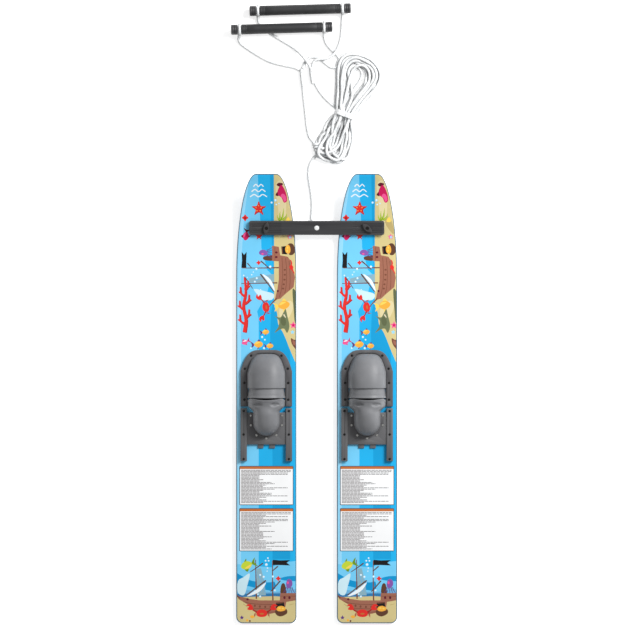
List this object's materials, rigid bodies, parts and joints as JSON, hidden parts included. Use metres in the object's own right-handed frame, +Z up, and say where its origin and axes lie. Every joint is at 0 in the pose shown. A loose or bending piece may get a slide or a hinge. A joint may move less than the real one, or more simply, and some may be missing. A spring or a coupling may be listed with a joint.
{
  "type": "water ski pair",
  "caption": "Trainer water skis joined by a swivelling spreader bar, with sliding rubber bindings and a hanked rope with bar handles.",
  "frame": {"origin": "on the surface that the skis lie on, midway between them and midway along the whole laid-out set", "axes": "+Y towards the ski tips, +Z up from the deck, +X to the right ski"},
  "size_m": [0.4329, 1.6161, 0.0798],
  "materials": {
    "painted_edge": "satin paint over the laminated edge",
    "printed_top": "glossy printed film",
    "black_rubber": "matte",
    "black_steel": "black oxide",
    "black_plastic": "fine moulded grain",
    "grey_plastic": "fine moulded grain",
    "grey_rubber": "soft satin rubber",
    "foot_foam": "textured foam",
    "bright_steel": "bright",
    "white_film": "white film",
    "white_rope": "braided polyethylene",
    "white_plastic": "moulded nylon",
    "white_tie": "woven nylon tape",
    "aluminium": "drawn",
    "black_foam": "closed-cell foam"
  },
  "bodies": {
    "spreader": {"spreader_bar": "black_plastic", "rope_stopper": "white_plastic", "skier_eyes": "white_rope", "tow_eyes": "white_rope", "skier_bridle_left": "white_rope", "skier_bridle_right": "white_rope", "skier_splice": "white_rope", "skier_line": "white_rope", "tow_bridle_left": "white_rope", "tow_bridle_right": "white_rope", "tow_splice": "white_rope", "tow_line": "white_rope", "hank": "white_rope", "hank_tie": "white_tie"},
    "ski_left": {"ski_core_left": "painted_edge", "top_sheet_left": "printed_top", "bar_pad_left": "black_rubber", "stud_left": "black_steel", "toe_frame_left": "grey_plastic", "toe_frame_screws_left": "black_steel", "toe_piece_left": "grey_rubber", "foot_bed_left": "foot_foam", "outer_rail_left": "grey_plastic", "inner_rail_left": "grey_plastic", "rail_screws_left": "black_steel", "info_panels_left": "white_film"},
    "knob_left": {"turn_knob_left": "black_plastic"},
    "heel_slide_left": {"heel_plate_left": "grey_plastic", "heel_cup_left": "grey_rubber", "heel_pad_left": "foot_foam", "heel_screws_left": "bright_steel"},
    "latch_left": {"latch_left": "grey_plastic"},
    "ski_right": {"ski_core_right": "painted_edge", "top_sheet_right": "printed_top", "bar_pad_right": "black_rubber", "stud_right": "black_steel", "toe_frame_right": "grey_plastic", "toe_frame_screws_right": "black_steel", "toe_piece_right": "grey_rubber", "foot_bed_right": "foot_foam", "outer_rail_right": "grey_plastic", "inner_rail_right": "grey_plastic", "rail_screws_right": "black_steel", "info_panels_right": "white_film"},
    "knob_right": {"turn_knob_right": "black_plastic"},
    "heel_slide_right": {"heel_plate_right": "grey_plastic", "heel_cup_right": "grey_rubber", "heel_pad_right": "foot_foam", "heel_screws_right": "bright_steel"},
    "latch_right": {"latch_right": "grey_plastic"},
    "skier_handle": {"skier_handle_tube": "aluminium", "skier_grip": "black_foam", "skier_end_caps": "black_rubber"},
    "tow_handle": {"tow_handle_tube": "aluminium", "tow_grip": "black_foam", "tow_end_caps": "black_rubber"}
  },
  "joints": [
    {"name": "ski_swivel_left", "type": "hinge", "parent": "spreader", "child": "ski_left", "pos_m": [-0.131, 0.222, 0.02582], "axis": [0, -0.1753, 0.9845], "range_deg": [-8, 2.4]},
    {"name": "knob_turn_left", "type": "hinge", "parent": "ski_left", "child": "knob_left", "pos_m": [-0.131, 0.222, 0.02582], "axis": [0, -0.1753, 0.9845], "continuous": true},
    {"name": "heel_adjust_left", "type": "slide", "parent": "ski_left", "child": "heel_slide_left", "axis": [0, -1, 0], "range_m": [0, 0.04]},
    {"name": "latch_pull_left", "type": "slide", "parent": "heel_slide_left", "child": "latch_left", "axis": [0, -1, 0], "range_m": [0, 0.004], "stiffness_N_per_m": 400},
    {"name": "ski_swivel_right", "type": "hinge", "parent": "spreader", "child": "ski_right", "pos_m": [0.131, 0.222, 0.02582], "axis": [0, -0.1753, 0.9845], "range_deg": [-2.4, 8]},
    {"name": "knob_turn_right", "type": "hinge", "parent": "ski_right", "child": "knob_right", "pos_m": [0.131, 0.222, 0.02582], "axis": [0, -0.1753, 0.9845], "continuous": true},
    {"name": "heel_adjust_right", "type": "slide", "parent": "ski_right", "child": "heel_slide_right", "axis": [0, -1, 0], "range_m": [0, 0.04]},
    {"name": "latch_pull_right", "type": "slide", "parent": "heel_slide_right", "child": "latch_right", "axis": [0, -1, 0], "range_m": [0, 0.004], "stiffness_N_per_m": 400},
    {"name": "skier_handle_spin", "type": "hinge", "parent": "spreader", "child": "skier_handle", "pos_m": [-0.091, 0.74, 0.02022], "axis": [0.9988, 0.0314, -0.0384], "continuous": true},
    {"name": "tow_handle_spin", "type": "hinge", "parent": "spreader", "child": "tow_handle", "pos_m": [-0.043, 0.789, 0.016], "axis": [0.9996, 0.0279, 0], "continuous": true}
  ]
}
